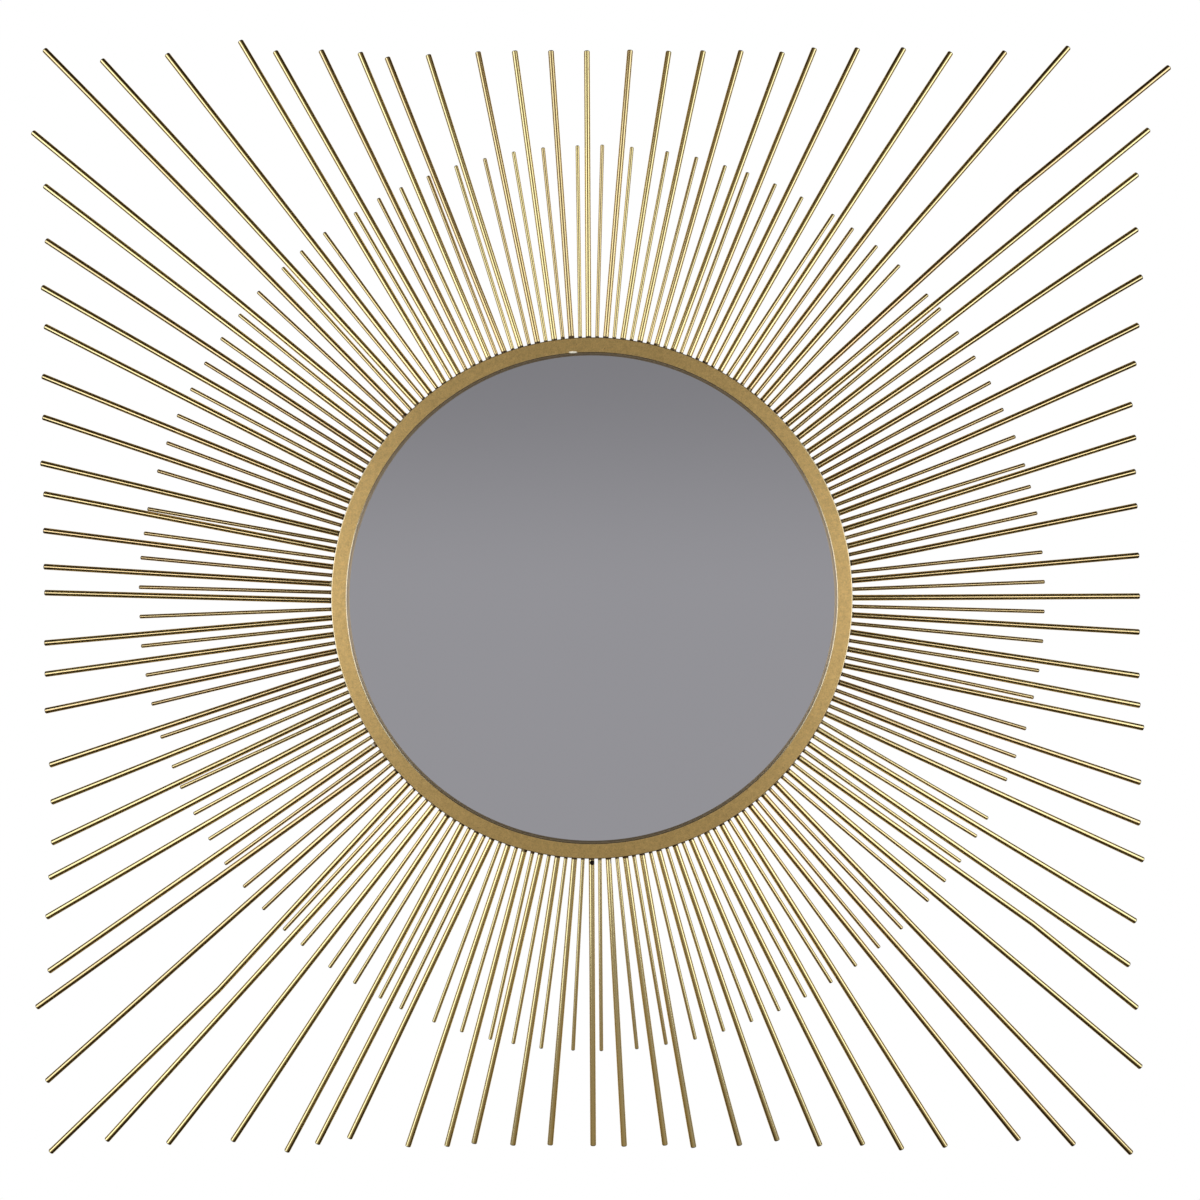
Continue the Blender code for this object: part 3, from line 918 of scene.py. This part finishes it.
class WALL_MIRROR_OT_rail(bpy.types.Operator):
    """Make the folded hanging rail and its four screws"""

    bl_idname = "wall_mirror.rail"
    bl_label = "Hanging rail"

    def execute(self, context):
        sizes = context.scene.mirror_body
        finishes = context.scene.mirror_finishes
        settle(make_rail(sizes, zinc_finish(finishes)), "rail_zinc", "hanging_rail")
        steel = steel_finish(finishes)
        for node in sorted(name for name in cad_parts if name.startswith("rail_screw")):
            settle(make_screw(node, sizes, steel), "screw_steel", node)
        return {"FINISHED"}


def flat_light(name, offset, facing, size, level, tint):
    """A flat soft light at an offset from the glass's centre. Its size is its width and height."""
    data = bpy.data.lights.new(name, "AREA")
    data.shape = "RECTANGLE"
    data.size, data.size_y = size
    data.energy = level * math.pi * size[0] * size[1]
    data.color = tint
    light = bpy.data.objects.new(name, data)
    light.location = CENTRE + offset
    light.rotation_euler = facing.to_track_quat("-Z", "Y").to_euler()
    light.visible_camera = False
    bpy.context.scene.collection.objects.link(light)
    return light


def side_light(name, angle, reach, up, size, level, tint):
    """A soft light that stands upright and faces the mirror's axis. Its angle is counted from
    the axis, to the right."""
    offset = Vector((reach * math.sin(angle), -reach * math.cos(angle), up))
    flat_light(name, offset, Vector((-offset.x, -offset.y, 0)), size, level, tint)


def room(studio):
    """The room as the gold and the glass reflect it: a grey belt at eye level, dark and warm
    above, below and beside, and a little darker high in front. Behind the mirror, the picture's
    ground is white. Forward and height are parts of the direction that is looked in, from -1 to
    1: towards the viewer and up."""
    world = bpy.data.worlds.new("studio_room")
    wiring = Wiring(world)
    bpy.context.scene.world = world
    direction = wiring.node("ShaderNodeTexCoord", {}, {}, "Generated")
    forward = direction.part("Y") * -1
    height = direction.part("Z")
    belt = abs(height).within(0.62, 0.14)
    beside = abs(forward).within(0.40, 0.10)
    dimmed = 1 - 0.30 * forward.within(0.90, 0.97) * height.within(0.00, 0.11)
    lit = studio.room_light * belt * (1 - 0.8 * beside)
    level = (studio.room_dark + lit) * dimmed + studio.rear_light * forward.within(-0.6, -0.8)
    seen = wiring.node("ShaderNodeLightPath", {}, {}, "Is Camera Ray")
    background = wiring.tree.nodes["Background"].inputs
    tone = wiring.mix(abs(height).within(0.28, 0.11), studio.dark_tint, studio.room_tint)
    wiring.feed(background["Color"], wiring.mix(seen, tone, (1, 1, 1)))
    wiring.feed(background["Strength"], seen + (1 - seen) * level)


def pale_floor(studio):
    """A round pale floor below the mirror: x is a ring's radius times the angle's cosine, y is the
    radius times its sine, and z is the same everywhere."""
    angle = even_turn(FLOOR_SEGMENTS)[None, :]
    ring = np.linspace(0.02, 1, FLOOR_RINGS)[:, None] * studio.floor_radius
    x = ring * np.cos(angle)
    y = ring * np.sin(angle)
    points = np.stack([x, y, np.full_like(x, CENTRE.z - studio.floor_drop)], -1)
    middle_face = np.arange(FLOOR_SEGMENTS)[::-1].tolist()
    faces = grid_faces(FLOOR_RINGS, FLOOR_SEGMENTS, False).tolist() + [middle_face]
    floor = new_piece("floor", points, faces, floor_finish(studio))
    floor.visible_glossy = False


def front_camera(studio):
    """A level camera in front of the mirror, as wide as the picture is at the rods."""
    data = bpy.data.cameras.new("front_camera")
    data.lens = data.sensor_width * studio.camera_distance / studio.view_width
    camera = bpy.data.objects.new("front_camera", data)
    camera.location = CENTRE + Vector((studio.camera_right, ROD_DEPTH - studio.camera_distance,
                                       studio.camera_up))
    camera.rotation_euler = (math.radians(90), 0, 0)
    bpy.context.scene.collection.objects.link(camera)
    bpy.context.scene.camera = camera


class WALL_MIRROR_OT_stage(bpy.types.Operator):
    """Set up the floor, the lights, the room and the camera"""

    bl_idname = "wall_mirror.stage"
    bl_label = "Stage"

    def execute(self, context):
        studio = context.scene.mirror_studio
        for name, side in (("left", -1), ("right", 1)):
            side_light(f"{name}_light", side * studio.box_angle, studio.box_distance,
                       studio.box_up + side * studio.box_tilt / 2,
                       (studio.box_width, studio.box_height), studio.box_light,
                       studio.box_tint)
            side_light(f"{name}_panel", side * studio.panel_angle, studio.panel_distance,
                       studio.panel_up, (studio.panel_width, studio.panel_height),
                       studio.panel_light, studio.panel_tint)
        top = flat_light("top_light", Vector((0, 0, studio.floor_drop)), Vector((0, 0, -1)),
                         (studio.top_width, studio.top_width), studio.top_light, (1, 1, 1))
        top.visible_glossy = False
        room(studio)
        pale_floor(studio)
        front_camera(studio)
        context.scene.view_settings.view_transform = "Standard"
        return {"FINISHED"}


STEPS = (WALL_MIRROR_OT_rim, WALL_MIRROR_OT_burst, WALL_MIRROR_OT_glass, WALL_MIRROR_OT_rail,
         WALL_MIRROR_OT_stage)
GROUPS = {"mirror_burst": BurstSizes, "mirror_body": BodySizes, "mirror_finishes": Finishes,
          "mirror_studio": Studio}


class VIEW3D_PT_wall_mirror(bpy.types.Panel):
    """Lists the steps and the settings of the wall mirror"""

    bl_label = "Wall Mirror"
    bl_space_type = "VIEW_3D"
    bl_region_type = "UI"
    bl_category = "Wall Mirror"

    def draw(self, context):
        for step in STEPS:
            self.layout.operator(step.bl_idname)
        for group_name, group in GROUPS.items():
            box = self.layout.box()
            box.label(text=group.__doc__.split(",")[0].rstrip("."))
            for setting in group.__annotations__:
                box.prop(getattr(context.scene, group_name), setting)


def register():
    """Register the settings, the operators and the panel."""
    for group_name, group in GROUPS.items():
        bpy.utils.register_class(group)
        setattr(bpy.types.Scene, group_name, PointerProperty(type=group))
    for kind in (*STEPS, VIEW3D_PT_wall_mirror):
        bpy.utils.register_class(kind)


def unregister():
    """Take away what register added."""
    for kind in reversed((*STEPS, VIEW3D_PT_wall_mirror)):
        bpy.utils.unregister_class(kind)
    for group_name, group in GROUPS.items():
        delattr(bpy.types.Scene, group_name)
        bpy.utils.unregister_class(group)


def main():
    """Make every piece and the stage."""
    register()
    bpy.ops.wall_mirror.rim()
    bpy.ops.wall_mirror.burst()
    bpy.ops.wall_mirror.glass()
    bpy.ops.wall_mirror.rail()
    bpy.ops.wall_mirror.stage()


if __name__ == "__main__":
    main()
